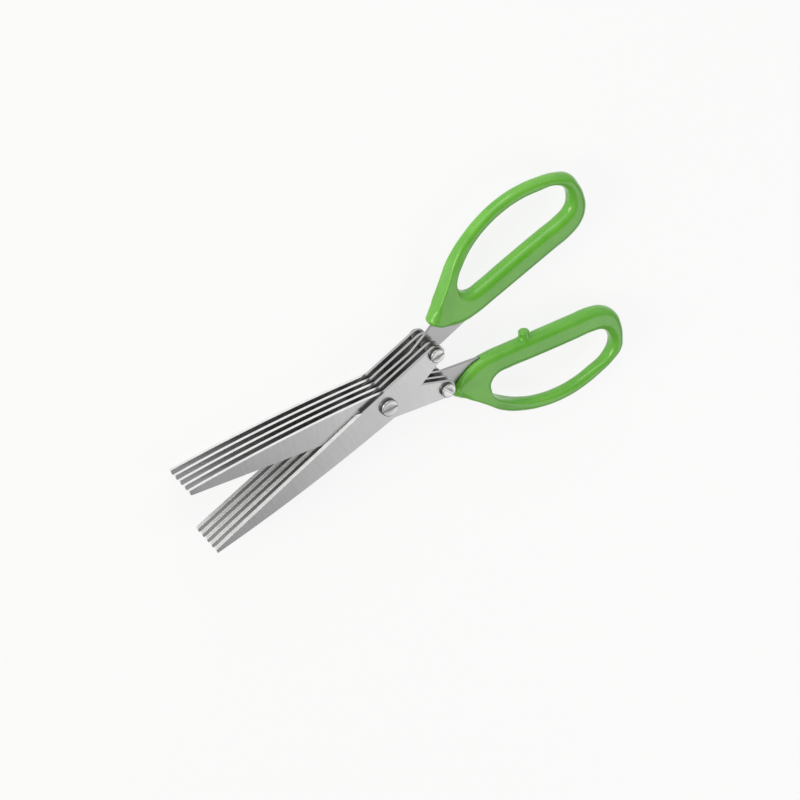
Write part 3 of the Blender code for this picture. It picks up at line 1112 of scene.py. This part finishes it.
# the studio: a pale sweep, a dimmer patch overhead, and four soft boxes that look at the pivot
studio = {
    "floorSize": 8,
    "floorColour": grey(0.92),
    "floorRoughness": 0.9,
    "floorGlow": 0.85,
    "skyFront": grey(0.86),
    "skyBack": grey(0.30),
    "skyRange": (-0.6, 0.6),
    "backdrop": grey(1),
    "shade": grey(0.10),
    "shadeMiddle": (0.15, 0.12, 0.98),
    "shadeStart": 36,
    "shadeFull": 12,
}
softBoxes = {
    "mirrorBox": {
        "place": (0.34, -0.40, 0.46),
        "size": (0.46, 0.44),
        "radiance": 1.28,
        "tint": (1, 1, 1),
    },
    "windowBox": {
        "place": (-0.06, 1.14, 0.38),
        "size": (0.80, 0.70),
        "radiance": 1.35,
        "tint": (1, 0.98, 0.95),
    },
    "sparkBox": {
        "place": (0.22, 1.13, 0.27),
        "size": (0.13, 0.13),
        "radiance": 13,
        "tint": (1, 1, 1),
    },
    "leftBox": {
        "place": (-0.92, 0.60, 0.52),
        "size": (0.45, 0.45),
        "radiance": 9.5,
        "tint": (1, 0.94, 0.80),
    },
}


def makeFloor():
    letGo()
    bpy.ops.mesh.primitive_plane_add(size=studio["floorSize"], location=(0, 0, 0))
    floor = bpy.context.object
    floor.name = "studioFloor"
    finish = Finish("paleFloor")
    finish.give({"Base Color": studio["floorColour"], "Roughness": studio["floorRoughness"]})
    # what the camera sees of the floor, also in mirrors, glows so that it stays pale
    seen = finish.add("LightPath", {}, {}, "Is Camera Ray")
    for ray in ("Is Glossy Ray", "Is Transmission Ray"):
        seen = seen + finish.add("LightPath", {}, {}, ray)
    glow = finish.add("Emission", {}, {"Color": grey(1), "Strength": 1})
    share = seen * studio["floorGlow"]
    lit = Wire(finish, finish.shader.outputs[0])
    mixed = finish.add("MixShader", {}, {0: share, 1: lit, 2: glow})
    finish.feed(finish.tree.nodes["Material Output"].inputs["Surface"], mixed)
    floor.data.materials.append(finish.material)


def makeWorld():
    world = bpy.data.worlds.new("studioRoom")
    bpy.context.scene.world = world
    room = Nodes(world)
    direction = room.add("TexCoord", {}, {}, "Generated")
    middle = Vector(studio["shadeMiddle"]).normalized()
    near = room.add("VectorMath", {"operation": "DOT_PRODUCT"}, {0: direction, 1: middle}, "Value")
    start = math.cos(math.radians(studio["shadeStart"]))
    full = math.cos(math.radians(studio["shadeFull"]))
    depth = room.add("SeparateXYZ", {}, {0: direction}, "Y")
    front = room.ramp(depth, *studio["skyRange"])
    sky = room.blend(studio["skyBack"], studio["skyFront"], front)
    colour = room.blend(sky, studio["shade"], room.ramp(near, start, full))
    seen = room.add("LightPath", {}, {}, "Is Camera Ray")
    colour = room.blend(colour, studio["backdrop"], seen)
    room.feed(room.tree.nodes["Background"].inputs["Color"], colour)


def makeLamps():
    for name, values in softBoxes.items():
        letGo()
        bpy.ops.object.light_add(type="AREA", location=values["place"])
        lamp = bpy.context.object
        lamp.name = name
        lamp.rotation_euler = Vector(values["place"]).to_track_quat("Z", "Y").to_euler()
        lamp.data.shape = "RECTANGLE"
        lamp.data.size, lamp.data.size_y = values["size"]
        lamp.data.color = values["tint"]
        lamp.visible_camera = False
        width, height = values["size"]
        lamp.data.energy = math.pi * values["radiance"] * width * height


placeCamera()
sheetFinishes = {}
for half in halves:
    sheetFinishes[half] = (makeSheetFace(half), makeSheetRim(half), makeGroundStrip(half))
plasticFinishes = {half: makeGreenPlastic(half) for half in halves}
headFinishes = {bolt: makeTurnedSteel(bolt, "head") for bolt in bolts}
ringFinishes = {bolt: makeTurnedSteel(bolt, "ring") for bolt in bolts}
print("finishes made")
makeBlades(sheetFinishes)
makeHandles(plasticFinishes)
makeFasteners(headFinishes, ringFinishes)
makeFloor()
makeWorld()
makeLamps()
bpy.context.scene.view_settings.view_transform = "Standard"
print("studio made")
